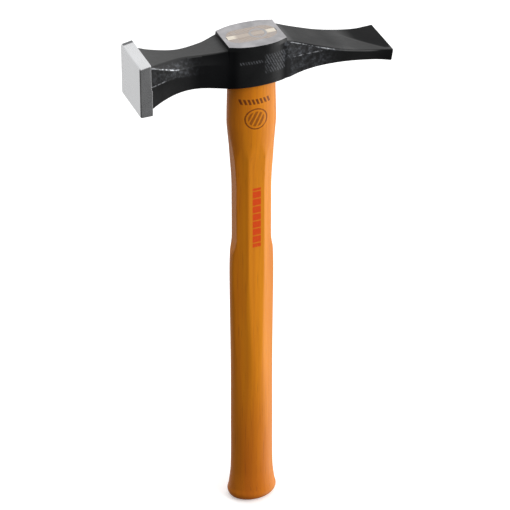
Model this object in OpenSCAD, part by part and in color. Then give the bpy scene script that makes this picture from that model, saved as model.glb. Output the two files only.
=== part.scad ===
// Cross-peen hammer with a square striking plate, a broad flat peen and a hickory handle.
// Origin: centre of the handle's flat butt. +Z runs up the handle, +X towards the peen.

/* [Hammer] */
// Overall length, from the handle's butt to the ground top of the head
hammer_len = 336; // [300:1:400]

/* [Head] */
// Distance from the handle's axis to the striking face
face_reach = 75; // [72:1:85]
// Distance from the handle's axis to the end of the peen
peen_reach = 84; // [76:1:95]
// Side of the square striking plate
plate_side = 32.6; // [30:0.2:34]
// Thickness of the striking plate
plate_thick = 7; // [5:0.5:9]
// Rise of the plate's top from its front to its back
plate_rise = 1.3; // [0:0.1:2]
// Chamfer round the striking plate
plate_chamfer = 0.6; // [0.4:0.1:1.5]
// Height of the boss that holds the eye
boss_height = 27.2; // [26:0.2:30]
// Half length of the flat ground on top of the boss
land_half = 18; // [17:0.5:20]
// Widest half width of the boss, at the eye
boss_half = 15.2; // [13.6:0.1:17]
// Half width of the peen at its end
peen_half = 16.1; // [14:0.1:18]
// Thickness of the peen at its end
peen_thick = 7.6; // [6:0.1:9]

/* [Eye] */
// Length of the eye at the top of the head
eye_len = 31; // [28:0.5:32]
// Width of the eye at the top of the head
eye_wide = 15.4; // [14:0.1:16]
// How much narrower the eye is at the bottom of the head
eye_taper = 1.4; // [0.8:0.1:2]

/* [Handle] */
// Width of the handle over its widest oval is this share of its depth
oval_ratio = 0.76; // [0.7:0.01:0.85]
// Half depth of the shoulder under the head
shoulder_half = 15.3; // [14:0.1:16]
// Half depth of the faceted waist
waist_half = 12.7; // [12:0.1:13.2]
// Half depth of the grip
grip_half = 13.5; // [13:0.1:14.5]
// Half depth of the flared butt
butt_half = 16; // [14.8:0.1:17]
// Distance from the handle's axis to the front and back flats of the waist
front_flat = 8.3; // [8:0.1:8.8]
// Distance from the handle's axis to the side flats of the waist
side_flat = 11.3; // [11:0.1:12]
// Distance from the handle's axis to the four sloping flats of the waist
slope_flat = 9.75; // [9.5:0.05:10.2]

/* [Wedges] */
// Thickness of the wooden wedge at the top of the head
wedge_thick = 4.4; // [3:0.2:5]
// Depth of the wooden wedge
wedge_depth = 22; // [20:0.5:24]
// Outer diameter of the steel ring wedge
ring_od = 11; // [9:0.5:12]
// Wall of the steel ring wedge at its top
ring_wall = 1.5; // [1:0.1:2]
// Depth of the steel ring wedge
ring_depth = 14; // [10:0.5:16]
// Offset of the ring wedge from the handle's axis, towards the peen
ring_shift = 4; // [0:0.5:5]

/* [Hidden] */

curve_steps = 8;
over = 40;
side_count = 32;
ring_pitch = 6;

plate_drop = 15.6;
plate_back = -face_reach + plate_thick;
plate_root_half = plate_side / 2 - 2.9;
plate_root_top = -1;
plate_root_bottom = -30.4;
land_step = 2.2;
arm_waist_half = 11.2;
peen_top = -19.4;

belly_end = land_half + 2.5;
scallop_radius = 50;
scallop_middle = -42;
scallop_half = 5.2;
scallop_drop = -3.3;
scallop_slope = 38;

eye_round = eye_wide / 2;
eye_centre = eye_len / 2 - eye_round;
eye_round_low = eye_round - eye_taper / 2;
wedge_tip = 0.8;

shoulder_height = hammer_len - boss_height;
slope_angle = 57;
flat_fade = 2.4;
fade_high = 36;
corner_pull = 2;
butt_round = 4.6;
waist_high = hammer_len - 71;
waist_height = hammer_len - 127;
waist_end = hammer_len - 162;
side_low = hammer_len - 150;
side_run = 12;
front_low = hammer_len - 240;
front_run = 95;
bevel_low = hammer_len - 290;
bevel_run = 130;

// Heights and half depths of the oval that the handle is shaved from, butt first
oval_stations = [
    [0, butt_half - butt_round],
    [butt_round * 0.25, butt_half - butt_round * 0.35],
    [butt_round, butt_half],
    [9, butt_half - 0.8],
    [22, grip_half + 0.3],
    [60, grip_half],
    [105, grip_half - 0.1],
    [waist_end, grip_half + 0.4],
    [waist_height, waist_half],
    [waist_high - 6, grip_half + 0.4],
    [waist_high + 7, shoulder_half - 0.5],
    [hammer_len - 57, shoulder_half],
    [shoulder_height, shoulder_half - 0.6]
];

// Point at share t of a cubic curve from a to d, with handles b and c
function cubic(a, b, c, d, t) =
    a * pow(1 - t, 3) + 3 * b * t * pow(1 - t, 2) + 3 * c * t * t * (1 - t) + d * pow(t, 3);

// Points along a cubic curve, without its last point
function curve(a, b, c, d) =
    [for (i = [0 : curve_steps - 1]) cubic(a, b, c, d, i / curve_steps)];

// Slope of a station list at station i, level at both ends
function slope(list, i) =
    i == 0 || i == len(list) - 1
        ? 0
        : (list[i + 1][1] - list[i - 1][1]) / (list[i + 1][0] - list[i - 1][0]);

// Smooth value between stations i and i + 1 of a list, at share t
function between(list, i, t) =
    let (run = list[i + 1][0] - list[i][0])
    list[i][1] * (1 + 2 * t) * pow(1 - t, 2)
        + run * slope(list, i) * t * pow(1 - t, 2)
        + list[i + 1][1] * t * t * (3 - 2 * t)
        - run * slope(list, i + 1) * t * t * (1 - t);

// Value of a station list at height h
function station_value(list, h, i = 0) =
    i == len(list) - 2 || h <= list[i + 1][0]
        ? between(list, i, (h - list[i][0]) / (list[i + 1][0] - list[i][0]))
        : station_value(list, h, i + 1);

// How far a flat has drawn out of the wood at height h, when it fades out over run down to low
function fade(h, low, run) =
    flat_fade * pow(max(0, (low + run - h) / run, (h - waist_high + fade_high) / fade_high), 2);

// Distance from the handle's axis to its surface, in direction a at height h
function handle_radius(a, h) =
    let (
        half_x = station_value(oval_stations, h),
        half_y = half_x * oval_ratio,
        oval = 1 / sqrt(pow(cos(a) / half_x, 2) + pow(sin(a) / half_y, 2)),
        steep = max(abs(cos(a)), 0.001),
        flat = max(abs(sin(a)), 0.001),
        front = (front_flat + fade(h, front_low, front_run)) / flat,
        side = (side_flat + fade(h, side_low, side_run)) / steep,
        bevel = (slope_flat + fade(h, bevel_low, bevel_run))
            / (abs(cos(a)) * cos(slope_angle) + abs(sin(a)) * sin(slope_angle))
    )
    min(oval, front, side, bevel);

// Side outline of the forging, in X and height above the ground top of the head
module side_outline() {
    polygon(concat(
        curve([plate_back, plate_root_top], [-58, -3.4], [-34, -4.7], [-land_half, -land_step]),
        [[-land_half, -land_step], [-land_half, 0], [land_half, 0]],
        curve([land_half, -land_step], [34, -8.2], [52, -17], [peen_reach, peen_top]),
        curve([peen_reach, peen_top], [peen_reach + 0.1, peen_top - 2],
            [peen_reach - 0.3, peen_top - 5], [peen_reach - 0.9, peen_top - peen_thick]),
        curve([peen_reach - 0.9, peen_top - peen_thick], [64, -24.1], [42, -20.2],
            [belly_end, -boss_height]),
        curve([-land_half, -boss_height], [-34, -23.9], [-47, -17.7],
            [plate_back, plate_root_bottom]),
        [[plate_back, plate_root_bottom]]
    ));
}

// Half of the plan outline of the forging, on the +Y side
function plan_half() = concat(
    curve([plate_back, plate_root_half], [-48, 10.8], [-30, 10.6], [-land_half, arm_waist_half + 0.6]),
    curve([-land_half, arm_waist_half + 0.6], [-10, boss_half + 0.8], [10, boss_half + 0.8],
        [land_half, arm_waist_half + 0.6]),
    curve([land_half, arm_waist_half + 0.6], [28, 10.8], [38, 12], [52, 12.8]),
    curve([52, 12.8], [66, 13.6], [75, 13.6], [peen_reach, peen_half]),
    [[peen_reach, peen_half]]
);

module plan_outline() {
    half = plan_half();
    last = len(half) - 1;
    polygon(concat(half, [for (i = [0 : last]) [half[last - i][0], -half[last - i][1]]]));
}

// Outline of the striking plate seen from the front, with its corners cut, in X and Y
module plate_front() {
    half = plate_side / 2;
    top = half + plate_rise;
    cut = plate_chamfer;
    polygon([
        [-half, cut - half],
        [cut - half, -half],
        [half - cut, -half],
        [half, cut - half],
        [half, top - cut],
        [half - cut, top],
        [cut - half, top],
        [-half, top - cut]
    ]);
}

// Profile of the striking plate with its face at the left, chamfered round the face
module plate_profile(rise) {
    half = plate_side / 2;
    cut = plate_chamfer;
    polygon([
        [0, -half],
        [0, half + rise],
        [cut - plate_thick, half],
        [-plate_thick, half - cut],
        [-plate_thick, cut - half],
        [cut - plate_thick, -half]
    ]);
}

// Striking plate: a square slab whose top rises towards its back
module striking_plate() {
    translate([plate_back, 0, -plate_drop])
        intersection() {
            rotate([90, 0, 90])
                translate([0, 0, -plate_thick])
                linear_extrude(plate_thick)
                plate_front();
            rotate([90, 0, 0])
                linear_extrude(over, center = true)
                plate_profile(plate_rise);
            linear_extrude(over, center = true)
                plate_profile(0);
        }
}

// Cutter for the hollow facet along one upper edge of the arm behind the striking plate
module scallop() {
    translate([scallop_middle, scallop_half, scallop_drop])
        rotate([-scallop_slope, 0, 0])
        translate([0, 0, scallop_radius])
        rotate([90, 0, 0])
        cylinder(h = 2 * over, r = scallop_radius, center = true, $fn = 180);
}

// The eye as a solid: an oval with straight sides that narrows towards the bottom of the head
module eye_solid() {
    for (x = [-eye_centre, eye_centre])
        translate([x, 0, -boss_height])
        cylinder(h = boss_height, r1 = eye_round_low, r2 = eye_round, $fn = 96);
    rotate([90, 0, 90])
        linear_extrude(2 * eye_centre, center = true)
        polygon([
            [-eye_round_low, -boss_height],
            [eye_round_low, -boss_height],
            [eye_round, 0],
            [-eye_round, 0]
        ]);
}

// Tapered slab that the wooden wedge is cut from, longer than the eye
module wedge_slab() {
    rotate([90, 0, 90])
        linear_extrude(over, center = true)
        polygon([
            [-wedge_thick / 2, 0],
            [-wedge_tip / 2, -wedge_depth],
            [wedge_tip / 2, -wedge_depth],
            [wedge_thick / 2, 0]
        ]);
}

// Steel ring with a flat top and a sharp lower edge
module ring_solid() {
    edge_radius = (ring_od - ring_wall) / 2;
    translate([ring_shift, 0, 0])
        rotate_extrude($fn = 96)
        polygon([
            [ring_od / 2 - ring_wall, 0],
            [edge_radius - 0.1, -ring_depth],
            [edge_radius + 0.1, -ring_depth],
            [ring_od / 2, 0]
        ]);
}

// The shaved handle below the head, as rings of points joined by flat faces.
// The points of a ring are drawn a little towards the eight corners of the waist.
module grip() {
    rows = ceil((shoulder_height - butt_round) / ring_pitch);
    heights = concat(
        [0, butt_round * 0.25],
        [for (i = [0 : rows]) butt_round + (shoulder_height - butt_round) * i / rows]
    );
    count = len(heights);
    points = [
        for (h = heights, k = [0 : side_count - 1])
            let (
                even = 360 * k / side_count,
                a = even - corner_pull * sin(4 * even),
                r = handle_radius(a, h)
            )
            [r * cos(a), r * sin(a), h]
    ];
    walls = [
        for (row = [0 : count - 2], k = [0 : side_count - 1])
            let (next = (k + 1) % side_count, low = row * side_count, high = low + side_count)
            each [[low + k, high + k, high + next], [low + k, high + next, low + next]]
    ];
    bottom = [for (k = [0 : side_count - 1]) k];
    top = [for (k = [0 : side_count - 1]) count * side_count - 1 - k];
    polyhedron(points = points, faces = concat(walls, [bottom, top]));
}

module head() {
    color([0.09, 0.1, 0.11])
        translate([0, 0, hammer_len])
        difference() {
            union() {
                difference() {
                    intersection() {
                        rotate([90, 0, 0])
                            linear_extrude(over, center = true)
                            side_outline();
                        translate([0, 0, -over])
                            linear_extrude(2 * over)
                            plan_outline();
                    }
                    scallop();
                    mirror([0, 1, 0]) scallop();
                }
                striking_plate();
            }
            eye_solid();
        }
}

module handle() {
    color([0.84, 0.5, 0.16])
        union() {
            grip();
            translate([0, 0, hammer_len])
                difference() {
                    eye_solid();
                    wedge_slab();
                    ring_solid();
                }
        }
}

module wooden_wedge() {
    color([0.93, 0.87, 0.74])
        translate([0, 0, hammer_len])
        difference() {
            intersection() {
                eye_solid();
                wedge_slab();
            }
            ring_solid();
        }
}

module ring_wedge() {
    color([0.6, 0.6, 0.62])
        translate([0, 0, hammer_len])
        ring_solid();
}

head();
handle();
wooden_wedge();
ring_wedge();
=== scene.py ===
import math

import bpy
import numpy as np
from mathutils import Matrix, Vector, noise


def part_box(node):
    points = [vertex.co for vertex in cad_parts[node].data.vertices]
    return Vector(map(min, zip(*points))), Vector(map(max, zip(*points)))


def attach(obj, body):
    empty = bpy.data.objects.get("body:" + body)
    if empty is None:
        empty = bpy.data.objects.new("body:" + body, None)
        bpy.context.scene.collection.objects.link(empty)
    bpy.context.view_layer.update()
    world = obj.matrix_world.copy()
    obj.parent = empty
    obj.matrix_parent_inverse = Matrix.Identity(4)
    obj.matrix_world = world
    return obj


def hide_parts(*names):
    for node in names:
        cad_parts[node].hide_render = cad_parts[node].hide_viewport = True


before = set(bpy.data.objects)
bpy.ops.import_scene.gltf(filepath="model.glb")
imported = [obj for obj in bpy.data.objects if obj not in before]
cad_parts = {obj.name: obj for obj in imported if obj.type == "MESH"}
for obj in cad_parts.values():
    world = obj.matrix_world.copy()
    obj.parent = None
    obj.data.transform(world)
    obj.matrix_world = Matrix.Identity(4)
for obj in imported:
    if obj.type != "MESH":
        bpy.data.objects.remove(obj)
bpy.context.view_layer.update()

# A hickory-handled forged hammer: square polished striking plate, eye boss, broad cross peen.
# Lengths in the tables and functions below are millimetres. Heights on the head are measured
# from the ground top of its boss, and heights on the handle from its butt.
MM = 0.001
HEAD_LOW, HEAD_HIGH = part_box("head")
HANDLE_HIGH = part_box("handle")[1]
LAND_Z = HANDLE_HIGH.z / MM
FACE_X = HEAD_LOW.x / MM
PEEN_X = HEAD_HIGH.x / MM
PLATE_TOP = HEAD_HIGH.z / MM - LAND_Z
PLATE_BOTTOM = HEAD_LOW.z / MM - LAND_Z
PLATE_HALF = HEAD_HIGH.y / MM
BUTT_HALF = HANDLE_HIGH.x / MM
BOSS_BOTTOM = -27.2


# ---------------------------------------------------------------- curves

def smooth(stations, x):
    """Smooth curve through (place, value) stations, level at both ends."""
    places, values = np.array(stations, float).T
    slopes = np.zeros(len(places))
    slopes[1:-1] = (values[2:] - values[:-2]) / (places[2:] - places[:-2])
    x = np.clip(np.asarray(x, float), places[0], places[-1])
    i = np.clip(np.searchsorted(places, x) - 1, 0, len(places) - 2)
    run = places[i + 1] - places[i]
    t = (x - places[i]) / run
    return (values[i] * (1 + 2 * t) * (1 - t) ** 2 + run * slopes[i] * t * (1 - t) ** 2
            + values[i + 1] * t * t * (3 - 2 * t) - run * slopes[i + 1] * t * t * (1 - t))


def ramp(x, low, high):
    """0 below low, 1 above high, eased between them."""
    t = np.clip((np.asarray(x, float) - low) / (high - low), 0, 1)
    return t * t * (3 - 2 * t)


def bell(x, middle, spread):
    """1 at the middle, falling to nothing over about twice the spread."""
    return np.exp(-((np.asarray(x, float) - middle) / spread) ** 2)


def cubic(a, b, c, d):
    """Points along a cubic curve from a to d with handles b and c."""
    t = np.linspace(0, 1, 160)[:, None]
    a, b, c, d = (np.array(p, float) for p in (a, b, c, d))
    return a * (1 - t) ** 3 + 3 * b * t * (1 - t) ** 2 + 3 * c * t * t * (1 - t) + d * t ** 3


def height_on(curve, x):
    """Height of a curve's points at x."""
    order = np.argsort(curve[:, 0])
    return np.interp(x, curve[order, 0], curve[order, 1])


def rough(points, size, seed):
    """Noise between about -1 and 1 at each point, with features of the given size."""
    shift = Vector((seed * 17.3, seed * 5.1, seed * 9.7))
    return np.array([noise.fractal(Vector(p) / size + shift, 1.0, 2.0, 3) for p in points])


# ---------------------------------------------------------------- meshes

def make_object(name, points, faces):
    """A mesh object in the row frame from points in millimetres."""
    mesh = bpy.data.meshes.new(name)
    mesh.from_pydata([tuple(p) for p in np.asarray(points) * MM], [], faces)
    mesh.validate()
    obj = bpy.data.objects.new(name, mesh)
    bpy.context.scene.collection.objects.link(obj)
    return obj


def loft(rings, capped=True):
    """Points and faces of a skin over rings that all have the same number of points."""
    count = len(rings[0])
    points = np.concatenate(rings)
    faces = []
    for row in range(len(rings) - 1):
        low = row * count
        high = low + count
        for k in range(count):
            n = (k + 1) % count
            faces.append((low + k, low + n, high + n, high + k))
    if capped:
        faces.append(tuple(reversed(range(count))))
        faces.append(tuple(range((len(rings) - 1) * count, len(rings) * count)))
    return points, faces


def subtract(obj, cutter):
    """Cuts cutter's shape out of obj and removes the cutter."""
    cut = obj.modifiers.new("cut", "BOOLEAN")
    cut.operation = "DIFFERENCE"
    cut.solver = "EXACT"
    cut.object = cutter
    apply_modifiers(obj)
    bpy.data.objects.remove(cutter)


def apply_modifiers(obj):
    """Replaces obj's mesh with the result of its modifiers."""
    graph = bpy.context.evaluated_depsgraph_get()
    mesh = bpy.data.meshes.new_from_object(obj.evaluated_get(graph))
    obj.modifiers.clear()
    old = obj.data
    obj.data = mesh
    mesh.name = obj.name
    bpy.data.meshes.remove(old)


def points_of(obj):
    """The mesh's points, in millimetres."""
    co = np.zeros(len(obj.data.vertices) * 3)
    obj.data.vertices.foreach_get("co", co)
    return co.reshape(-1, 3) / MM


def move_points(obj, points):
    """Puts the mesh's points at the given places, in millimetres."""
    obj.data.vertices.foreach_set("co", (points * MM).ravel())
    obj.data.update()


def normals_of(obj):
    """The direction in which the skin faces at each of the mesh's points."""
    normals = np.zeros(len(obj.data.vertices) * 3)
    obj.data.vertex_normals.foreach_get("vector", normals)
    return normals.reshape(-1, 3)


def set_mask(obj, name, values):
    """Stores one number per point, which a material reads by name."""
    layer = obj.data.attributes.new(name, "FLOAT", "POINT")
    layer.data.foreach_set("value", np.clip(values, 0, 1).astype(np.float32))


def shade(obj, angle):
    """Smooth shading that keeps edges sharper than the angle, in degrees."""
    obj.data.shade_smooth()
    obj.data.set_sharp_from_angle(angle=math.radians(angle))


# ---------------------------------------------------------------- the head

# Side outline: top and underside of both arms, in X and height
ARM_TOP = cubic((-68, -1), (-58, -3.4), (-34, -4.7), (-18, -2.2))
ARM_UNDER = cubic((-18, -27.2), (-34, -23.9), (-47, -17.7), (-68, -30.4))
PEEN_TOP = cubic((18, -2.2), (34, -8.2), (52, -17), (84, -19.4))
PEEN_UNDER = cubic((20.5, -27.2), (42, -20.2), (64, -24.1), (83.1, -27))
# Plan outline: half width at the parting line
PLAN = np.concatenate([
    cubic((-68, 13.4), (-48, 10.8), (-30, 10.6), (-18, 11.8)),
    cubic((-18, 11.8), (-10, 16), (10, 16), (18, 11.8)),
    cubic((18, 11.8), (28, 10.8), (38, 12), (52, 12.8)),
    cubic((52, 12.8), (66, 13.6), (75, 13.6), (84, 16.1)),
])
# Half width of the flat on top, from the plate to the end of the peen
FLAT_HALF = [
    (-68, 12.2), (-60, 9.4), (-50, 6.1), (-43, 5.2), (-30, 7.3), (-18, 10.1), (-12, 12.7),
    (-6, 14.2), (0, 14.7), (6, 14.5), (12, 13.4), (18, 11.2), (26, 10.6), (40, 11.4),
    (55, 12.3), (72, 13.4), (84, 15.9),
]
# Height of the ridge under the upper facets of the arm
RIDGE_Z = [(-68, -2.4), (-60, -4.8), (-50, -7.6), (-38, -7.4), (-28, -9.2), (-18, -10), (14, -10)]
# How far the worn upper edge of the peen's arm lies below its top
EDGE_DROP = 0.9
# How much further out the far side of the top lies than the near side
FAR_EXTRA = [
    (-30, 0), (-20, 1.4), (-12, 0.8), (0, 0.5), (10, 0.3), (18, 0.6), (26, 1.2), (36, 0.6), (46, 0),
]
# Slope and width of the dressed facet on the near side of the peen's top
FACET_FALL = 0.045
FACET_WIDTH = 12
# Height of the parting line left by the forging dies
PARTING_Z = [
    (-68, -14.4), (-56, -12.6), (-46, -12.6), (-36, -13.6), (0, -14.6), (20, -14.2),
    (32, -13.5), (43, -13.6), (84, -21.6),
]
LAND_HALF = 18.0
# The small slope at each end of the ground top starts STEP_IN inside LAND_HALF and ends STEP_OUT beyond
STEP_IN = 0.25
STEP_OUT = 0.35
PLATE_BACK = -68.0
# How much higher the plate's top is at its back than at its face
PLATE_RISE = 1.3
PLATE_CHAMFER = 0.6
# Extra thickness of the plate below the parting line
PLATE_FOOT = 0.6
PLATE_FOOT_Z = -14.4
# How far in front of the plate's back the black enamel starts
ENAMEL_START = 0.14
# Reach of the fillet between the back of the plate and the arm
FILLET = 1.2
# How far the end of the peen slants back from its top to its underside
END_SLANT = 0.9
# Distance on each side of a place over which the plan outline's corners are blended
PLAN_BLEND = 2.2


def plan_half(x):
    """Half width of the forging at x, with the corners of the plan outline blended over."""
    nearby = x + np.linspace(-PLAN_BLEND, PLAN_BLEND, 9)
    return float(np.mean(height_on(PLAN, np.clip(nearby, PLATE_BACK, PEEN_X))))


def head_corners(x, far=False):
    """Corners (y, z) of the forging's section at x, from the top centre to the bottom centre."""
    if x < 0:
        arm = height_on(ARM_TOP, x)
        step = ramp(x, -LAND_HALF - STEP_OUT, -LAND_HALF + STEP_IN)
        under = height_on(ARM_UNDER, x)
    else:
        arm = height_on(PEEN_TOP, x)
        step = 1 - ramp(x, LAND_HALF - STEP_IN, LAND_HALF + STEP_OUT)
        under = height_on(PEEN_UNDER, x)
    top = arm * (1 - step)
    inner = PLATE_BACK + PLAN_BLEND < x < PEEN_X - PLAN_BLEND
    plan = plan_half(x) if inner else height_on(PLAN, x)
    flat = min(float(smooth(FLAT_HALF, x)) + far * float(smooth(FAR_EXTRA, x)), plan)
    draft = 0.9 * (1 - float(ramp(x, 30, 50))) * float(1 - 0.6 * bell(x, 0, 16))
    on_peen = float(ramp(x, 12, 19))
    ridge = min(float(smooth(RIDGE_Z, x)) * (1 - on_peen) + (top - EDGE_DROP) * on_peen, top - 0.5)
    parting = min(float(smooth(PARTING_Z, x)), ridge - 0.8)
    ridge_half = plan - draft * (parting - ridge) / (parting - top)
    return [
        (0, top),
        (flat, top),
        (max(ridge_half, flat), ridge),
        (plan, parting),
        (plan - 0.25, under),
        (0, under),
    ]


def head_radii(x):
    """How far each of the four corners is rounded at x."""
    near_plate = float(1 - ramp(x, -62, -30))
    arm = float(1 - ramp(x, -26, -18))
    return [
        0.35 + 0.7 * near_plate,
        0.7 + 2.4 * (1 - arm),
        0.7 + 2.4 * float(ramp(x, -50, -34)) * float(1 - ramp(x, 18, 26)),
        0.8,
    ]


def round_outline(corners, radii, runs, arc):
    """Points along a half outline with its inner corners rounded, evenly placed on each run."""
    corners = [np.array(c, float) for c in corners]
    ends = [corners[0]]
    for i in range(1, len(corners) - 1):
        here = corners[i]
        back, ahead = corners[i - 1] - here, corners[i + 1] - here
        reach_back, reach_ahead = np.linalg.norm(back), np.linalg.norm(ahead)
        cut = min(radii[i - 1], 0.42 * reach_back, 0.42 * reach_ahead)
        ends += [here + back * cut / reach_back, here + ahead * cut / reach_ahead]
    ends.append(corners[-1])
    outline = []
    for i, run in enumerate(runs):
        a, b = ends[2 * i], ends[2 * i + 1]
        outline += [a + (b - a) * t for t in np.linspace(0, 1, run, endpoint=False)]
        if i < len(runs) - 1:
            c, d = corners[i + 1], ends[2 * i + 2]
            outline += [b * (1 - t) ** 2 + 2 * c * t * (1 - t) + d * t * t
                        for t in np.linspace(0, 1, arc, endpoint=False)]
    outline.append(ends[-1])
    return np.array(outline)


# Points on each straight run of half a section, and on each rounded corner between two runs
RUNS = (22, 12, 12, 20, 18)
ARC = 5


def section_ring(x, corners, radii, far_corners=None):
    """Closed ring of points round the section at x, from its near half and its far half."""
    near = round_outline(corners, radii, RUNS, ARC) * (-1, 1)
    far = round_outline(far_corners or corners, radii, RUNS, ARC)
    outline = np.concatenate([near, far[-2:0:-1]])
    return np.column_stack([np.full(len(outline), x), outline[:, 0], outline[:, 1] + LAND_Z])


def plate_ring(x, inset):
    """Ring round the striking plate at x, drawn in by inset on all four sides."""
    share = (x - FACE_X) / (PLATE_BACK - FACE_X)
    top = PLATE_TOP - PLATE_RISE * (1 - share) - inset
    bottom = PLATE_BOTTOM + inset
    side = PLATE_HALF - inset
    corners = [(0, top), (side, top), (side, -5), (side, PLATE_FOOT_Z), (side, bottom), (0, bottom)]
    return section_ring(x, corners, [0.9, 0.5, 0.5, 0.9])


def fillet_ring(x):
    """Ring of the arm where it swells into the back of the plate."""
    away = min(x - PLATE_BACK, FILLET)
    swell = FILLET - math.sqrt(FILLET ** 2 - (FILLET - away) ** 2)
    outward = [(0, 1), (1, 1), (1, 1), (1, 0), (1, -1), (0, -1)]
    grown = [(y + swell * out, z + swell * up)
             for (y, z), (out, up) in zip(head_corners(x), outward)]
    return section_ring(x, grown, head_radii(x))


def build_head():
    """The forging as one skin of rings, from the striking face to the end of the peen."""
    # The plate: its flat face, its chamfer, its sides and the rim of its back
    rings = [plate_ring(FACE_X, PLATE_CHAMFER + inset) for inset in (4, 1, 0.25, 0)]
    rings += [plate_ring(FACE_X + PLATE_CHAMFER * t, PLATE_CHAMFER * (1 - t)) for t in (0.25, 0.5, 0.75, 1)]
    rings += [plate_ring(x, 0) for x in np.linspace(FACE_X + 2 * PLATE_CHAMFER, PLATE_BACK - 0.4, 12)]
    rings += [plate_ring(PLATE_BACK - 0.17, 0), plate_ring(PLATE_BACK - 0.12, 0.03)]
    rings += [plate_ring(PLATE_BACK, 0.2), plate_ring(PLATE_BACK, 0.35), plate_ring(PLATE_BACK, 0.9)]
    # The arms and the boss, with close rings at the fillet and at both ends of the ground top
    rings += [fillet_ring(x) for x in PLATE_BACK + np.array([0, 0.08, 0.25, 0.5, 0.8, FILLET])]
    step = np.array([-0.4, -0.3, -0.2, -0.1, 0, 0.1, 0.2, 0.3])
    stations = np.concatenate([
        np.arange(PLATE_BACK + 1.7, -LAND_HALF - 0.6, 0.5),
        -LAND_HALF + step,
        np.arange(-LAND_HALF + 0.8, LAND_HALF - 0.5, 0.75),
        LAND_HALF - step[::-1],
        np.arange(LAND_HALF + 0.8, PEEN_X - 0.6, 0.5),
        PEEN_X - np.array([0.5, 0.25]),
    ])
    rings += [section_ring(x, head_corners(x), head_radii(x), head_corners(x, True)) for x in stations]
    # The end of the peen, drawn in towards its middle
    end = section_ring(PEEN_X, head_corners(PEEN_X), head_radii(PEEN_X))
    middle = np.array([0, 0, (end[:, 2].max() + end[:, 2].min()) / 2])
    reach = abs(end - middle).max(axis=0)
    for inset in (0.25, 0.6, 2.5):
        ring = end.copy()
        ring[:, 1:] = middle[1:] + (end[:, 1:] - middle[1:]) * (1 - inset / reach[1:])
        rings.append(ring)
    points, faces = loft(rings)
    return make_object("head_forging", points, faces)


def finish_head(head):
    """Trims the forging, cuts the eye, roughens the skin and marks what the materials need."""
    trim_head(head)
    subtract(head, eye_cutter(0.01, 3))
    roughen_head(head)
    for polygon in head.data.polygons:
        centre = polygon.center / MM
        height = centre.z - LAND_Z
        on_foot = centre.x < PLATE_BACK + PLATE_FOOT - ENAMEL_START and height < PLATE_FOOT_Z
        if (centre.x < PLATE_BACK - ENAMEL_START or on_foot) and polygon.normal.x < 0.4:
            polygon.material_index = 1
        elif abs(centre.x) < LAND_HALF - 0.12 and height > -0.12 and polygon.normal.z > 0.6:
            polygon.material_index = 2


def trim_head(head):
    """Slants the end of the peen, thickens the plate's foot and dresses the facet on the peen."""
    points = points_of(head)
    x, y, z = points[:, 0], points[:, 1], points[:, 2] - LAND_Z
    under = np.array([height_on(PEEN_UNDER, v) for v in x])
    top = np.array([height_on(PEEN_TOP, v) for v in x])
    share = np.clip((top - z) / np.maximum(top - under, 1), 0, 1)
    points[:, 0] -= END_SLANT * ramp(x, 74, 84) * share
    at_back = ramp(x, PLATE_BACK - 1.5, PLATE_BACK) * (1 - ramp(x, PLATE_BACK, PLATE_BACK + FILLET))
    points[:, 0] += PLATE_FOOT * at_back * (1 - ramp(z, PLATE_FOOT_Z - 0.4, PLATE_FOOT_Z + 0.2))
    facet = ramp(x, 40, 56) * (1 - ramp(x, 78, 82)) * (z > top - 1.2)
    inward = facet_edge(x) - y
    points[:, 2] -= FACET_FALL * facet * np.clip(inward, 0, FACET_WIDTH) * ramp(inward, -1, 1)
    move_points(head, points)


def roughen_head(head):
    """Adds the forged roughness as real relief and stores the masks that the enamel reads."""
    points = points_of(head)
    x, y, z = points[:, 0], points[:, 1], points[:, 2] - LAND_Z
    normals = normals_of(head)
    side = ramp(abs(y) - smooth(FLAT_HALF, x), 0.1, 1.6)
    side = np.maximum(side, ramp(x, 10, 18) * (z < top_of_arm(x) - 0.5))
    bright = (x < PLATE_BACK + 0.05) | ((x < PLATE_BACK + PLATE_FOOT + 0.02) & (z < -14))
    land = (abs(x) < LAND_HALF - 0.2) & (z > -0.05)
    eye = (abs(x) < EYE_CENTRE + EYE_ROUND + 0.1) & (abs(y) < EYE_ROUND + 0.1)
    painted = ~(bright | land | eye)
    parting = smooth(PARTING_Z, x)
    as_forged = np.maximum(
        0.8 * (1 - ramp(x, -52, -32)) * ramp(z, parting - 0.6, parting + 0.2),
        1.25 * ramp(x, 6, 22) * (1 - ramp(x, 44, 58)) * ramp(z, parting - 1, parting + 0.5),
    ) * painted * side
    small = rough(points, 1.6, seed=1)
    large = rough(points, 9.0, seed=2)
    lift = painted * (0.035 * large + (0.012 + 0.075 * as_forged) * small)
    move_points(head, points + normals * np.minimum(lift, 0.05)[:, None])
    scaled = 0.7 * ramp(x, 18.5, 21.5) * (1 - ramp(x, 34, 54)) * ramp(parting - z, 0, 1) * painted * side
    set_mask(head, "forged", as_forged * (0.75 + 0.5 * large) + scaled)
    set_mask(head, "wear", head_wear(x, y, z, small))
    on_top = z > top_of_arm(x) - 0.6
    tip = 1.15 * ramp(y - facet_edge(x), -1, 3) * ramp(x, 50, 72) * on_top
    by_boss = 0.6 * bell(x, -LAND_HALF, 2.6) + bell(x, LAND_HALF - 1.5, 4.0) * ~on_top
    waist = ramp(x, -52, -36) * (1 - ramp(x, -16, -8)) * ~on_top
    peen_top = (0.62 - 0.36 * ramp(x, 46, 60)) * ramp(x, 18, 24) * on_top
    peen_side = 0.3 * ramp(x, 18, 26) * ~on_top
    set_mask(head, "dull", painted * np.maximum.reduce([tip, by_boss, waist, peen_top, peen_side]))


def top_of_arm(x):
    """Height of the top of either arm at each x."""
    return np.where(x < 0, height_on(ARM_TOP, x), height_on(PEEN_TOP, x))


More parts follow.
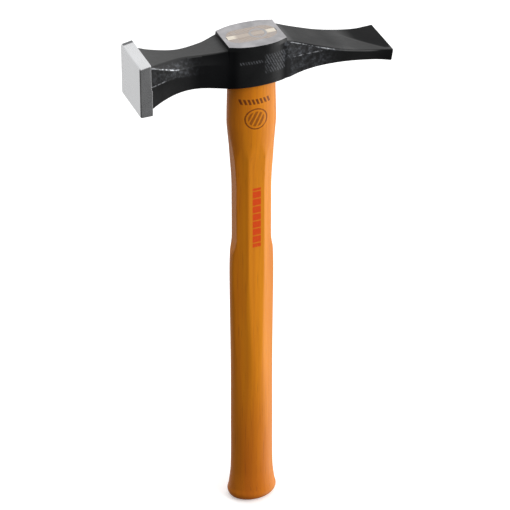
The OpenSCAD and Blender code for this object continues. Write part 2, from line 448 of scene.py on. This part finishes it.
def facet_edge(x):
    """Inner edge, in Y, of the dressed facet along the near side of the peen's top."""
    return 4.0 - 18 * np.clip((x - 59) / 21, 0, 1)


def head_wear(x, y, z, small):
    """Where the enamel is rubbed through to bright steel: the raised edges and arrises."""
    plan = height_on(PLAN, x)
    flat = smooth(FLAT_HALF, x)
    ridge = smooth(RIDGE_Z, x)
    parting = smooth(PARTING_Z, x)
    arm_top = top_of_arm(x)
    on_side = abs(abs(y) - plan) < 1.6
    ridge_line = bell(z, ridge, 0.5) * on_side * ramp(x, -68, -66) * (1 - ramp(x, -54, -40))
    part_line = bell(z, parting, 0.4) * on_side * (
        1.3 * (1 - ramp(x, -62, -50)) + 1.1 * ramp(x, 18, 24) * (1 - ramp(x, 36, 48)))
    edge = bell(abs(y), flat, 0.4) * bell(z, arm_top, 0.5)
    peen_edge = bell(z, arm_top - EDGE_DROP, 0.45) * on_side * ramp(x, 18.5, 20) * (1 - ramp(x, 42, 54))
    edge_line = 0.15 * edge * ramp(x, -50, -38) * (1 - ramp(x, -22, -18.5)) + peen_edge
    patchy = 0.7 + 0.7 * small
    return (0.95 * ridge_line + 0.9 * part_line + 0.85 * edge_line) * np.clip(patchy, 0, 1)


# ---------------------------------------------------------------- the eye, tenon and wedges

# The eye is an oval of two half circles of radius EYE_ROUND about X = +-EYE_CENTRE
EYE_ROUND = 7.7
EYE_CENTRE = 7.8
EYE_TAPER = 0.7
# Half thickness of the wooden wedge at its top and at its tip
WEDGE_HALF = 2.2
WEDGE_TIP = 0.4
WEDGE_REACH = 15.1
WEDGE_DEPTH = 22.0
RING_X = 4.0
RING_OUTER = 5.5
RING_INNER = 4.0
RING_EDGE = 4.75
RING_DEPTH = 14.0
RING_BEVEL = 0.08


def eye_outline(radius):
    """Points round an oval made of two half circles and two straight sides."""
    angles = np.linspace(-math.pi / 2, math.pi / 2, 40)
    right = np.column_stack([EYE_CENTRE + radius * np.cos(angles), radius * np.sin(angles)])
    return np.concatenate([right, -right])


def eye_cutter(gap, above):
    """Solid of the tapered eye, widened by gap, from just below the boss to above its top."""
    rings = []
    for height, grow in ((BOSS_BOTTOM - 1, -EYE_TAPER), (BOSS_BOTTOM, -EYE_TAPER), (0, 0), (above, 0)):
        outline = eye_outline(EYE_ROUND + grow + gap)
        rings.append(np.column_stack([outline, np.full(len(outline), LAND_Z + height)]))
    return make_object("eye_cutter", *loft(rings))


def wedge_rings(gap, reach, top):
    """Cross sections along X of the tapered wooden wedge, widened by gap on each side."""
    rings = []
    low = 1 - EYE_TAPER * WEDGE_DEPTH / (-BOSS_BOTTOM * reach)
    half = WEDGE_HALF + gap
    tip = WEDGE_TIP + gap
    for x in np.linspace(-reach, reach, 60):
        rings.append(np.array([
            (x, -half, LAND_Z + top), (x * low, -tip, LAND_Z - WEDGE_DEPTH - gap),
            (x * low, tip, LAND_Z - WEDGE_DEPTH - gap), (x, half, LAND_Z + top),
        ]))
    return rings


def turned(name, profile, x):
    """Closed ring of revolution about a vertical line at x, from a closed (radius, height) profile."""
    sides = 72
    rings = []
    for a in np.linspace(0, 2 * math.pi, sides, endpoint=False):
        rings.append(np.array([(x + r * math.cos(a), r * math.sin(a), LAND_Z + h) for r, h in profile]))
    rings.append(rings[0])
    points, faces = loft(rings, capped=False)
    count = len(profile)
    keep = sides * count
    faces = [tuple(v % keep for v in face) for face in faces]
    return make_object(name, points[:keep], faces)


# ---------------------------------------------------------------- the handle

OVAL_RATIO = 0.76
SHOULDER_Z = LAND_Z + BOSS_BOTTOM
# Distances from the axis to the front, side and sloping flats of the waist, and the slopes' angle
FRONT_FLAT = 8.3
SIDE_FLAT = 11.3
SLOPE_FLAT = 9.75
SLOPE_LEAN = math.radians(57)
# Heights at which the flats have run out, at their tops and at the lower ends of each kind
FLAT_TOP = LAND_Z - 71
SIDE_LOW = LAND_Z - 150
FRONT_LOW = LAND_Z - 240
SLOPE_LOW = LAND_Z - 290
BUTT_ROUND = 5.4
# Half depth of the oval that the handle is shaved from
OVAL_HALF = [
    (BUTT_ROUND, BUTT_HALF), (9, BUTT_HALF - 0.8), (22, 13.8), (60, 13.5), (105, 13.4),
    (LAND_Z - 162, 13.9), (LAND_Z - 127, 12.75), (FLAT_TOP - 6, 13.9), (FLAT_TOP + 7, 14.8),
    (LAND_Z - 57, 15.25), (SHOULDER_Z, 14.7),
]


def drawn_out(h, low, run):
    """How far a flat has drawn out of the wood at height h, when it fades out over run down to low."""
    rise = 36
    return 2.4 * np.maximum(np.maximum((low + run - h) / run, (h - FLAT_TOP + rise) / rise), 0) ** 2


def handle_radius(a, h):
    """Distance from the handle's axis to its surface in direction a, with softly sanded arrises."""
    half = smooth(OVAL_HALF, h)
    c, s = abs(np.cos(a)), abs(np.sin(a))
    slope = c * math.cos(SLOPE_LEAN) + s * math.sin(SLOPE_LEAN)
    # The arrises are sanded rounder towards the grip
    hard = 34 + 56 * ramp(h, LAND_Z - 190, LAND_Z - 140)
    surfaces = [
        1 / np.sqrt((c / half) ** 2 + (s / (half * OVAL_RATIO)) ** 2),
        (FRONT_FLAT + drawn_out(h, FRONT_LOW, 95)) / np.maximum(s, 0.02),
        (SIDE_FLAT + drawn_out(h, SIDE_LOW, 12)) / np.maximum(c, 0.02),
        (SLOPE_FLAT + drawn_out(h, SLOPE_LOW, 130)) / slope,
    ]
    nearest = np.minimum.reduce(surfaces)
    return nearest * sum((nearest / r) ** hard for r in surfaces) ** (-1 / hard)


def build_handle():
    """The handle as one skin of rings, from its butt to the top of the tenon, with kerf and groove."""
    sides = 176
    angles = np.linspace(0, 2 * math.pi, sides, endpoint=False)
    rings = []

    def add(h, grow=0.0, shrink=1.0):
        """Adds the ring at height h, grown outwards and then scaled about the axis."""
        r = (handle_radius(angles, np.full(sides, max(h, BUTT_ROUND))) + grow) * shrink
        rings.append(np.column_stack([r * np.cos(angles), r * np.sin(angles), np.full(sides, h)]))

    for shrink in (0.4, 0.75):
        add(0, -BUTT_ROUND, shrink)
    for t in np.linspace(0, 90, 9):
        fall = math.radians(t)
        add(BUTT_ROUND * (1 - math.cos(fall)), -BUTT_ROUND * (1 - math.sin(fall)))
    for h in np.arange(BUTT_ROUND + 0.8, SHOULDER_Z - 1.0, 0.9):
        add(h)
    add(SHOULDER_Z - 0.5)
    add(SHOULDER_Z - 0.15, -0.1)
    add(SHOULDER_Z, -0.5)
    for h, grow in ((BOSS_BOTTOM, -EYE_TAPER), (BOSS_BOTTOM + 1, -EYE_TAPER), (-12, -0.3), (-1, 0), (0, 0)):
        rings.append(tenon_ring(angles, grow, h))
    points, faces = loft(rings)
    handle = make_object("handle_hickory", points, faces)
    subtract(handle, make_object("kerf", *loft(wedge_rings(0.01, 20, 2))))
    subtract(handle, turned("groove", ring_profile(0.02, 0.5), RING_X))
    return handle


def ring_profile(gap, above):
    """Closed profile of the ring wedge, widened by gap and carried on above the ground top."""
    bevel = 0 if above else RING_BEVEL
    return [
        (RING_INNER - gap, above - bevel), (RING_INNER - gap + bevel, above),
        (RING_OUTER + gap - bevel, above), (RING_OUTER + gap, above - bevel),
        (RING_EDGE + 0.1 + gap, -RING_DEPTH), (RING_EDGE - 0.1 - gap, -RING_DEPTH),
    ]


def tenon_ring(angles, grow, height):
    """Ring round the tenon, with one point in each of the given directions."""
    radius = EYE_ROUND + grow - 0.01
    c, s = np.cos(angles), np.sin(angles)
    flat = radius / np.maximum(abs(s), 1e-6)
    inside = abs(flat * c) <= EYE_CENTRE
    shift = EYE_CENTRE * abs(c)
    round_end = shift + np.sqrt(np.maximum(shift ** 2 - EYE_CENTRE ** 2 + radius ** 2, 0))
    r = np.where(inside, flat, round_end)
    return np.column_stack([r * c, r * s, np.full(len(angles), LAND_Z + height)])


# ---------------------------------------------------------------- material nodes

class Recipe:
    """A node material built up step by step around one Principled shader."""

    def __init__(self, name):
        self.material = bpy.data.materials.new(name)
        self.material.use_nodes = True
        self.nodes = self.material.node_tree.nodes
        self.links = self.material.node_tree.links
        self.shader = self.nodes["Principled BSDF"]
        self.place = self.nodes.new("ShaderNodeTexCoord").outputs["Object"]

    def feed(self, socket, value):
        """Links value to the socket when it is another node's output, and sets it otherwise."""
        if isinstance(value, bpy.types.NodeSocket):
            self.links.new(value, socket)
        elif isinstance(value, (tuple, list)) and len(value) == 3 and socket.type == "RGBA":
            socket.default_value = (*value, 1)
        else:
            socket.default_value = value

    def set(self, **values):
        """Sets or links sockets of the shader: base_color=..., roughness=..."""
        for name, value in values.items():
            self.feed(self.shader.inputs[name.replace("_", " ").title().replace("Ior", "IOR")], value)

    def math(self, operation, a, b=0.0):
        """Result of a Math node."""
        node = self.nodes.new("ShaderNodeMath")
        node.operation = operation
        self.feed(node.inputs[0], a)
        self.feed(node.inputs[1], b)
        return node.outputs[0]

    def axes(self):
        """The x, y and z of the place on the object, in metres."""
        node = self.nodes.new("ShaderNodeSeparateXYZ")
        self.links.new(self.place, node.inputs[0])
        return node.outputs

    def stretched(self, scale):
        """The place scaled by a factor for each axis."""
        node = self.nodes.new("ShaderNodeVectorMath")
        node.operation = "MULTIPLY"
        self.links.new(self.place, node.inputs[0])
        node.inputs[1].default_value = scale
        return node.outputs[0]

    def noise(self, scale, detail=3.0, rough=0.5, place=None):
        """Soft irregular pattern between 0 and 1."""
        node = self.nodes.new("ShaderNodeTexNoise")
        self.links.new(place or self.place, node.inputs["Vector"])
        node.inputs["Scale"].default_value = scale
        node.inputs["Detail"].default_value = detail
        node.inputs["Roughness"].default_value = rough
        return node.outputs["Fac"]

    def cells(self, scale):
        """Distance to the middle of the nearest of many scattered cells."""
        node = self.nodes.new("ShaderNodeTexVoronoi")
        self.links.new(self.place, node.inputs["Vector"])
        node.inputs["Scale"].default_value = scale
        return node.outputs["Distance"]

    def spread(self, value, low, high, to_low=0.0, to_high=1.0, smooth_step=False):
        """Maps value from low..high to to_low..to_high, held at both ends."""
        node = self.nodes.new("ShaderNodeMapRange")
        node.interpolation_type = "SMOOTHSTEP" if smooth_step else "LINEAR"
        for name, v in zip(("Value", "From Min", "From Max", "To Min", "To Max"),
                           (value, low, high, to_low, to_high)):
            self.feed(node.inputs[name], v)
        return node.outputs[0]

    def blend(self, share, a, b):
        """Mixes colours a and b by share."""
        node = self.nodes.new("ShaderNodeMix")
        node.data_type = "RGBA"
        self.feed(node.inputs["Factor"], share)
        self.feed(node.inputs[6], a)
        self.feed(node.inputs[7], b)
        return node.outputs[2]

    def within(self, value, middle, reach, soft):
        """1 within reach of the middle, 0 outside, with an edge of the given softness."""
        away = self.math("ABSOLUTE", self.math("SUBTRACT", value, middle))
        return self.spread(away, reach + soft, reach - soft)

    def mask(self, name):
        """One of the numbers that set_mask stored on the mesh."""
        node = self.nodes.new("ShaderNodeAttribute")
        node.attribute_name = name
        return node.outputs["Fac"]

    def bump(self, height, strength, distance, after=None):
        """Fine relief, added to another relief when one is given."""
        node = self.nodes.new("ShaderNodeBump")
        node.inputs["Strength"].default_value = strength
        node.inputs["Distance"].default_value = distance
        self.links.new(height, node.inputs["Height"])
        if after:
            self.links.new(after, node.inputs["Normal"])
        return node.outputs[0]


def enamel():
    """Satin black enamel over forged steel, rubbed through on the arrises."""
    m = Recipe("black_enamel")
    forged = m.mask("forged")
    wear = m.mask("wear")
    cloud = m.noise(60, 4)
    fleck = m.noise(900, 2)
    scuff = m.noise(480, 6, 0.62)
    dull = m.mask("dull")
    worn = m.spread(m.math("ADD", wear, m.math("MULTIPLY", scuff, 0.5)), 0.55, 1.0)
    paint = m.blend(m.spread(cloud, 0.35, 0.7), (0.0014, 0.0016, 0.002), (0.003, 0.0033, 0.0038))
    scale = m.blend(m.spread(scuff, 0.42, 0.62), (0.011, 0.012, 0.0142), (0.07, 0.075, 0.085))
    skin = m.blend(m.math("MULTIPLY", forged, m.spread(scuff, 0.38, 0.66)), paint, scale)
    metal = m.blend(m.spread(fleck, 0.35, 0.65), (0.24, 0.25, 0.27), (0.42, 0.43, 0.45))
    tone = m.blend(worn, skin, metal)
    marks = m.math("MULTIPLY", head_marks(m), m.spread(fleck, 0.3, 0.6))
    m.set(
        base_color=m.blend(marks, tone, (0.11, 0.115, 0.125)),
        metallic=m.math("MULTIPLY", worn, 0.6),
        roughness=m.spread(m.math("ADD", m.math("ADD", cloud, dull), m.math("MULTIPLY", forged, 0.4)),
                           0.3, 1.6, 0.27, 0.6),
        specular_ior_level=m.spread(dull, 0.0, 1.0, 0.48, 0.08),
    )
    peel = m.bump(m.noise(700, 3), 0.16, 0.0002)
    pits = m.bump(m.math("MULTIPLY", scuff, m.math("ADD", forged, 0.08)), 0.5, 0.0006, peel)
    m.set(normal=pits)
    return m.material


def head_marks(m):
    """Faint hatched patches on the near side of the boss: a low strip beside a taller block."""
    x, y, z = m.axes()
    front = m.spread(y, -0.0095, -0.0105)
    slant = m.math("ADD", x, m.math("MULTIPLY", z, 0.5))
    strokes = m.spread(m.math("FRACT", m.math("MULTIPLY", slant, 1 / 0.0016)), 0.62, 0.5)
    strip = m.math("MULTIPLY", m.within(x, -0.0055, 0.007, 0.0003),
                   m.within(z, (LAND_Z - 10.6) * MM, 0.0009, 0.0003))
    block = m.math("MULTIPLY", m.within(x, 0.0095, 0.0065, 0.0006),
                   m.within(z, (LAND_Z - 13.0) * MM, 0.0061, 0.0006))
    marks = m.math("MULTIPLY", strokes, m.math("MAXIMUM", strip, block))
    return m.math("MULTIPLY", m.math("MULTIPLY", marks, front), 0.7)


def polished_steel():
    """Bright striking plate with fine polishing lines and faint use marks."""
    m = Recipe("polished_steel")
    lines = m.noise(90, 3, 0.6, m.stretched((60, 2, 60)))
    cross = m.noise(120, 3, 0.6, m.stretched((40, 40, 1.5)))
    cloud = m.noise(45, 3)
    dents = m.cells(140)
    bright = m.blend(m.spread(cloud, 0.3, 0.7), (0.62, 0.625, 0.635), (0.69, 0.695, 0.705))
    x, y, _ = m.axes()
    # Painted shade: a dark strip along the far edge of the plate's top, where that edge reflects dark
    painted_edge_shade = m.math("MULTIPLY", m.spread(y, 0.0128, 0.0136),
                         m.spread(x, FACE_X * MM + 0.0004, FACE_X * MM + 0.001))
    m.set(
        base_color=m.blend(m.math("MULTIPLY", painted_edge_shade, 0.85), bright, (0.05, 0.052, 0.056)),
        metallic=1.0,
        roughness=m.spread(m.math("ADD", m.math("MULTIPLY", lines, 0.6), m.math("MULTIPLY", cloud, 0.4)),
                           0.3, 0.7, 0.22, 0.34),
    )
    scratches = m.bump(m.math("ADD", lines, m.math("MULTIPLY", cross, 0.6)), 0.025, 0.0001)
    m.set(normal=m.bump(m.spread(dents, 0.0, 0.25), 0.015, 0.0002, scratches))
    return m.material


def ground_steel():
    """Top of the boss, ground flat with coarse crossing lines."""
    m = Recipe("ground_steel")
    lines = m.noise(100, 4, 0.7, m.stretched((4, 70, 30)))
    cloud = m.noise(120, 4)
    m.set(
        base_color=m.blend(m.spread(cloud, 0.35, 0.65), (0.33, 0.325, 0.335), (0.46, 0.45, 0.46)),
        metallic=0.85,
        roughness=m.spread(lines, 0.3, 0.7, 0.36, 0.52),
        normal=m.bump(lines, 0.25, 0.0002),
    )
    return m.material


def hickory():
    """Straight-grained hickory under amber lacquer, with burned marks and a red bar."""
    m = Recipe("lacquered_hickory")
    x, y, z = m.axes()
    wander = m.noise(26, 4, 0.55, m.stretched((1, 1, 0.12)))
    across = m.math("ADD", m.math("ADD", x, m.math("MULTIPLY", y, 0.45)), m.math("MULTIPLY", wander, 0.02))
    ring = m.math("FRACT", m.math("MULTIPLY", across, 300))
    late = m.math("MULTIPLY", m.spread(ring, 0.5, 0.95, smooth_step=True), m.spread(ring, 1.0, 0.95))
    fibre = m.noise(520, 4, 0.6, m.stretched((1, 1, 0.016)))
    streak = m.noise(80, 3, 0.55, m.stretched((1, 1, 0.03)))
    pores = m.spread(m.noise(1800, 1, 0.4, m.stretched((1, 1, 0.028))), 0.64, 0.76)
    light = m.blend(m.spread(streak, 0.3, 0.7), (0.68, 0.21, 0.0045), (0.82, 0.285, 0.008))
    dark = m.blend(m.spread(fibre, 0.3, 0.7), (0.46, 0.12, 0.006), (0.60, 0.17, 0.008))
    wood = m.blend(m.math("MULTIPLY", late, m.spread(streak, 0.35, 0.65, 0.34, 0.1)), light, dark)
    wood = m.blend(m.spread(fibre, 0.35, 0.75, 0.0, 0.25), wood, (0.42, 0.115, 0.006))
    # The wood is darker in clouds of random tone.
    cloud = m.noise(44, 3, 0.5, m.stretched((1, 1, 0.14)))
    wood = m.blend(m.spread(cloud, 0.42, 0.68, 0.0, 0.55), wood, (0.54, 0.118, 0.006))
    # Painted shade: the grip is darker towards the butt and most of all on its left side, broken up by the
    # same clouds
    painted_shade_grip = m.math("MULTIPLY", m.spread(z, 0.012, 0.15, 0.68, 0.0, smooth_step=True),
                  m.spread(x, -0.006, 0.005, 1.0, 0.08, smooth_step=True))
    wood = m.blend(m.math("MULTIPLY", painted_shade_grip, m.spread(cloud, 0.3, 0.65, 0.45, 1.0)),
                   wood, (0.44, 0.092, 0.006))
    wood = m.blend(m.math("MULTIPLY", pores, 0.28), wood, (0.20, 0.055, 0.008))
    smudge = m.noise(700, 3, 0.6)
    wood = m.blend(m.math("MULTIPLY", red_bar(m, x, y, z), m.spread(smudge, 0.2, 0.45, 0.55, 0.92)),
                   wood, (0.72, 0.052, 0.006))
    wood = m.blend(m.math("MULTIPLY", burned_marks(m, x, y, z), m.spread(smudge, 0.25, 0.5, 0.45, 0.9)),
                   wood, (0.13, 0.028, 0.006))
    m.set(
        base_color=wood,
        roughness=m.spread(fibre, 0.3, 0.7, 0.5, 0.62),
        specular_ior_level=0.15,
        coat_weight=0.2,
        coat_roughness=0.22,
        coat_ior=1.45,
        normal=m.bump(m.math("ADD", fibre, m.math("MULTIPLY", pores, -0.8)), 0.07, 0.0003),
    )
    return m.material


def red_bar(m, x, y, z):
    """Plain painted bar of even blocks on the front flat of the waist."""
    across = m.within(x, 0.0002, 0.0027, 0.0002)
    along = m.within(z, (LAND_Z - 122.3) * MM, 0.0211, 0.0003)
    blocks = m.spread(m.math("FRACT", m.math("MULTIPLY", z, 1 / 0.0053)), 0.86, 0.82, 0.25, 1.0)
    bar = m.math("MULTIPLY", m.math("MULTIPLY", across, along), blocks)
    return m.math("MULTIPLY", bar, m.spread(y, -0.003, -0.004))


def burned_marks(m, x, y, z):
    """A burned row of slanted dashes above a burned ring with three bars in it."""
    x = m.math("ADD", x, 0.0012)
    row_z = m.math("SUBTRACT", z, (LAND_Z - 39.3) * MM)
    slant = m.math("ADD", x, m.math("MULTIPLY", row_z, 0.35))
    dash = m.spread(m.math("FRACT", m.math("MULTIPLY", slant, 1 / 0.0024)), 0.62, 0.54)
    row = m.math("MULTIPLY", m.within(row_z, 0.0, 0.0018, 0.0002), m.within(x, -0.0003, 0.0096, 0.0002))
    ring_z = m.math("SUBTRACT", z, (LAND_Z - 51.0) * MM)
    radius = m.math("SQRT", m.math("ADD", m.math("MULTIPLY", x, x), m.math("MULTIPLY", ring_z, ring_z)))
    circle = m.within(radius, 0.0067, 0.0004, 0.00015)
    lean = m.math("SUBTRACT", x, m.math("MULTIPLY", ring_z, 0.5))
    bars = m.spread(m.math("FRACT", m.math("MULTIPLY", lean, 1 / 0.003)), 0.68, 0.58)
    inside = m.math("MULTIPLY", m.math("MULTIPLY", bars, m.spread(radius, 0.0052, 0.0049)), 0.72)
    marks = m.math("MAXIMUM", m.math("MULTIPLY", dash, row), m.math("MAXIMUM", circle, inside))
    return m.math("MULTIPLY", marks, m.spread(y, -0.003, -0.004))


def end_grain():
    """Top of the tenon: cut fibres, ground flush and darkened by steel dust."""
    m = Recipe("tenon_end_grain")
    x, y, _ = m.axes()
    wander = m.noise(40, 3)
    across = m.math("ADD", m.math("ADD", x, m.math("MULTIPLY", y, 0.45)), m.math("MULTIPLY", wander, 0.006))
    ring = m.math("FRACT", m.math("MULTIPLY", across, 520))
    dust = m.noise(260, 4, 0.6)
    pores = m.spread(m.noise(1900, 1), 0.62, 0.7)
    tone = m.blend(m.spread(ring, 0.3, 1.0), (0.46, 0.39, 0.33), (0.34, 0.27, 0.22))
    tone = m.blend(m.spread(dust, 0.35, 0.65), tone, (0.40, 0.36, 0.34))
    tone = m.blend(m.math("MULTIPLY", pores, 0.5), tone, (0.14, 0.10, 0.075))
    m.set(base_color=tone, roughness=0.62, normal=m.bump(m.noise(1200, 3), 0.3, 0.0002))
    return m.material


def pale_wood():
    """Bare pale wood of the wedge, dirtied inside the ring."""
    m = Recipe("wedge_wood")
    x = m.axes()[0]
    fibre = m.noise(500, 4, 0.6, m.stretched((0.08, 1, 1)))
    dirt = m.noise(420, 4, 0.6)
    tone = m.blend(m.spread(fibre, 0.3, 0.7), (0.68, 0.60, 0.49), (0.82, 0.77, 0.67))
    middle = m.math("ADD", m.within(x, -0.0003, 0.0105, 0.0022), m.math("MULTIPLY", dirt, 0.5))
    tone = m.blend(m.spread(middle, 0.7, 1.25, 0.0, 0.85), tone, (0.42, 0.355, 0.31))
    m.set(base_color=tone, roughness=0.6, normal=m.bump(fibre, 0.25, 0.0003))
    return m.material


def ring_steel():
    """Bare steel of the ring wedge, scratched by the same grinding as the boss."""
    m = Recipe("ring_steel")
    lines = m.noise(100, 4, 0.7, m.stretched((4, 70, 30)))
    m.set(
        base_color=m.blend(m.spread(lines, 0.3, 0.7), (0.34, 0.335, 0.34), (0.48, 0.475, 0.48)),
        metallic=0.85,
        roughness=0.45,
        normal=m.bump(lines, 0.2, 0.0002),
    )
    return m.material


# ---------------------------------------------------------------- pieces

def keep_piece(obj, node, materials, angle):
    """Gives a finished piece its materials and shading, hangs it on the root body and hides the CAD node it
    replaces.
    """
    for material in materials:
        obj.data.materials.append(material)
    shade(obj, angle)
    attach(obj, "root")
    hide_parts(node)


head = build_head()
finish_head(head)
keep_piece(head, "head", [enamel(), polished_steel(), ground_steel()], 40)

handle = build_handle()
for polygon in handle.data.polygons:
    if polygon.center.z / MM > LAND_Z - 0.2:
        polygon.material_index = 1
keep_piece(handle, "handle", [hickory(), end_grain()], 35)

wedge = make_object("wooden_wedge_slip", *loft(wedge_rings(0, WEDGE_REACH, 0)))
subtract(wedge, turned("wedge_groove", ring_profile(0.01, 0.5), RING_X))
keep_piece(wedge, "wooden_wedge", [pale_wood()], 30)

ring = turned("ring_wedge_steel", ring_profile(0, 0), RING_X)
keep_piece(ring, "ring_wedge", [ring_steel()], 30)


# ---------------------------------------------------------------- floor, light and camera

def soft_light(name, place, aim, size, power):
    """White rectangular studio light at place, turned towards aim."""
    data = bpy.data.lights.new(name, "AREA")
    data.shape = "RECTANGLE"
    data.size, data.size_y = size
    data.energy = power
    light = bpy.data.objects.new(name, data)
    light.location = place
    light.rotation_euler = (Vector(aim) - Vector(place)).to_track_quat("-Z", "Y").to_euler()
    bpy.context.scene.collection.objects.link(light)


def pale_floor():
    """Plain pale floor. It isn't seen in the part's reflections, so the steel stays dark below."""
    m = Recipe("floor_paper")
    m.set(base_color=(0.98, 0.98, 0.98), roughness=0.9, specular_ior_level=0.1,
          emission_color=(1, 1, 1), emission_strength=0.25)
    half = 4000
    corners = [(-half, -half, 0), (half, -half, 0), (half, half, 0), (-half, half, 0)]
    floor = make_object("floor", corners, [(0, 1, 2, 3)])
    floor.data.materials.append(m.material)
    floor.visible_glossy = False
    floor.visible_diffuse = False


def lobe(nodes, links, aim, low, high, to_low, to_high):
    """Brightness of the world by direction: to_high towards aim, easing to to_low away from it."""
    facing = nodes.new("ShaderNodeVectorMath")
    facing.operation = "DOT_PRODUCT"
    facing.inputs[1].default_value = Vector(aim).normalized()
    links.new(nodes["Direction"].outputs["Generated"], facing.inputs[0])
    level = nodes.new("ShaderNodeMapRange")
    level.interpolation_type = "SMOOTHSTEP"
    links.new(facing.outputs["Value"], level.inputs["Value"])
    for name, value in zip(("From Min", "From Max", "To Min", "To Max"), (low, high, to_low, to_high)):
        level.inputs[name].default_value = value
    return level.outputs[0]


def studio_world():
    """Soft white room, bright above and behind the part and dim in front of it and below."""
    world = bpy.data.worlds.new("studio")
    world.use_nodes = True
    nodes, links = world.node_tree.nodes, world.node_tree.links
    nodes.new("ShaderNodeTexCoord").name = "Direction"
    room = lobe(nodes, links, (0.05, 0.55, 0.83), -0.8, 0.4, 0.13, 1.12)
    card = lobe(nodes, links, (0.85, -0.2, -0.49), 0.79, 0.985, 0.0, 2.0)
    flag = lobe(nodes, links, (-0.96, -0.14, 0.02), 0.15, 0.95, 1.0, 0.36)
    total = nodes.new("ShaderNodeMath")
    links.new(room, total.inputs[0])
    links.new(card, total.inputs[1])
    dimmed = nodes.new("ShaderNodeMath")
    dimmed.operation = "MULTIPLY"
    links.new(total.outputs[0], dimmed.inputs[0])
    links.new(flag, dimmed.inputs[1])
    links.new(dimmed.outputs[0], nodes["Background"].inputs["Strength"])
    nodes["Background"].inputs["Color"].default_value = (1, 1, 1, 1)
    bpy.context.scene.world = world


pale_floor()
studio_world()
soft_light("key_right", (0.72, -1.0, 0.7), (0, 0, 0.2), (0.7, 1.1), 10.2)

# The photo's camera: a long lens aimed at a point below and left of the head
AZIMUTH, ELEVATION = -21.84, 33.51
DISTANCE = 1.8
SENSOR_WIDTH, FOCAL_LENGTH = 36, 218.2
AIM = Vector((-24.4, -66.8, LAND_Z - 107.3)) * MM
turn, tilt = math.radians(AZIMUTH), math.radians(ELEVATION)
back = Vector((math.sin(turn) * math.cos(tilt), -math.cos(turn) * math.cos(tilt), math.sin(tilt)))
lens = bpy.data.cameras.new("camera")
lens.sensor_width = SENSOR_WIDTH
lens.lens = FOCAL_LENGTH
camera = bpy.data.objects.new("camera", lens)
camera.location = AIM + back * DISTANCE
camera.rotation_euler = (math.pi / 2 - tilt, 0, turn)
bpy.context.scene.collection.objects.link(camera)
bpy.context.scene.camera = camera
bpy.context.scene.view_settings.view_transform = "Standard"
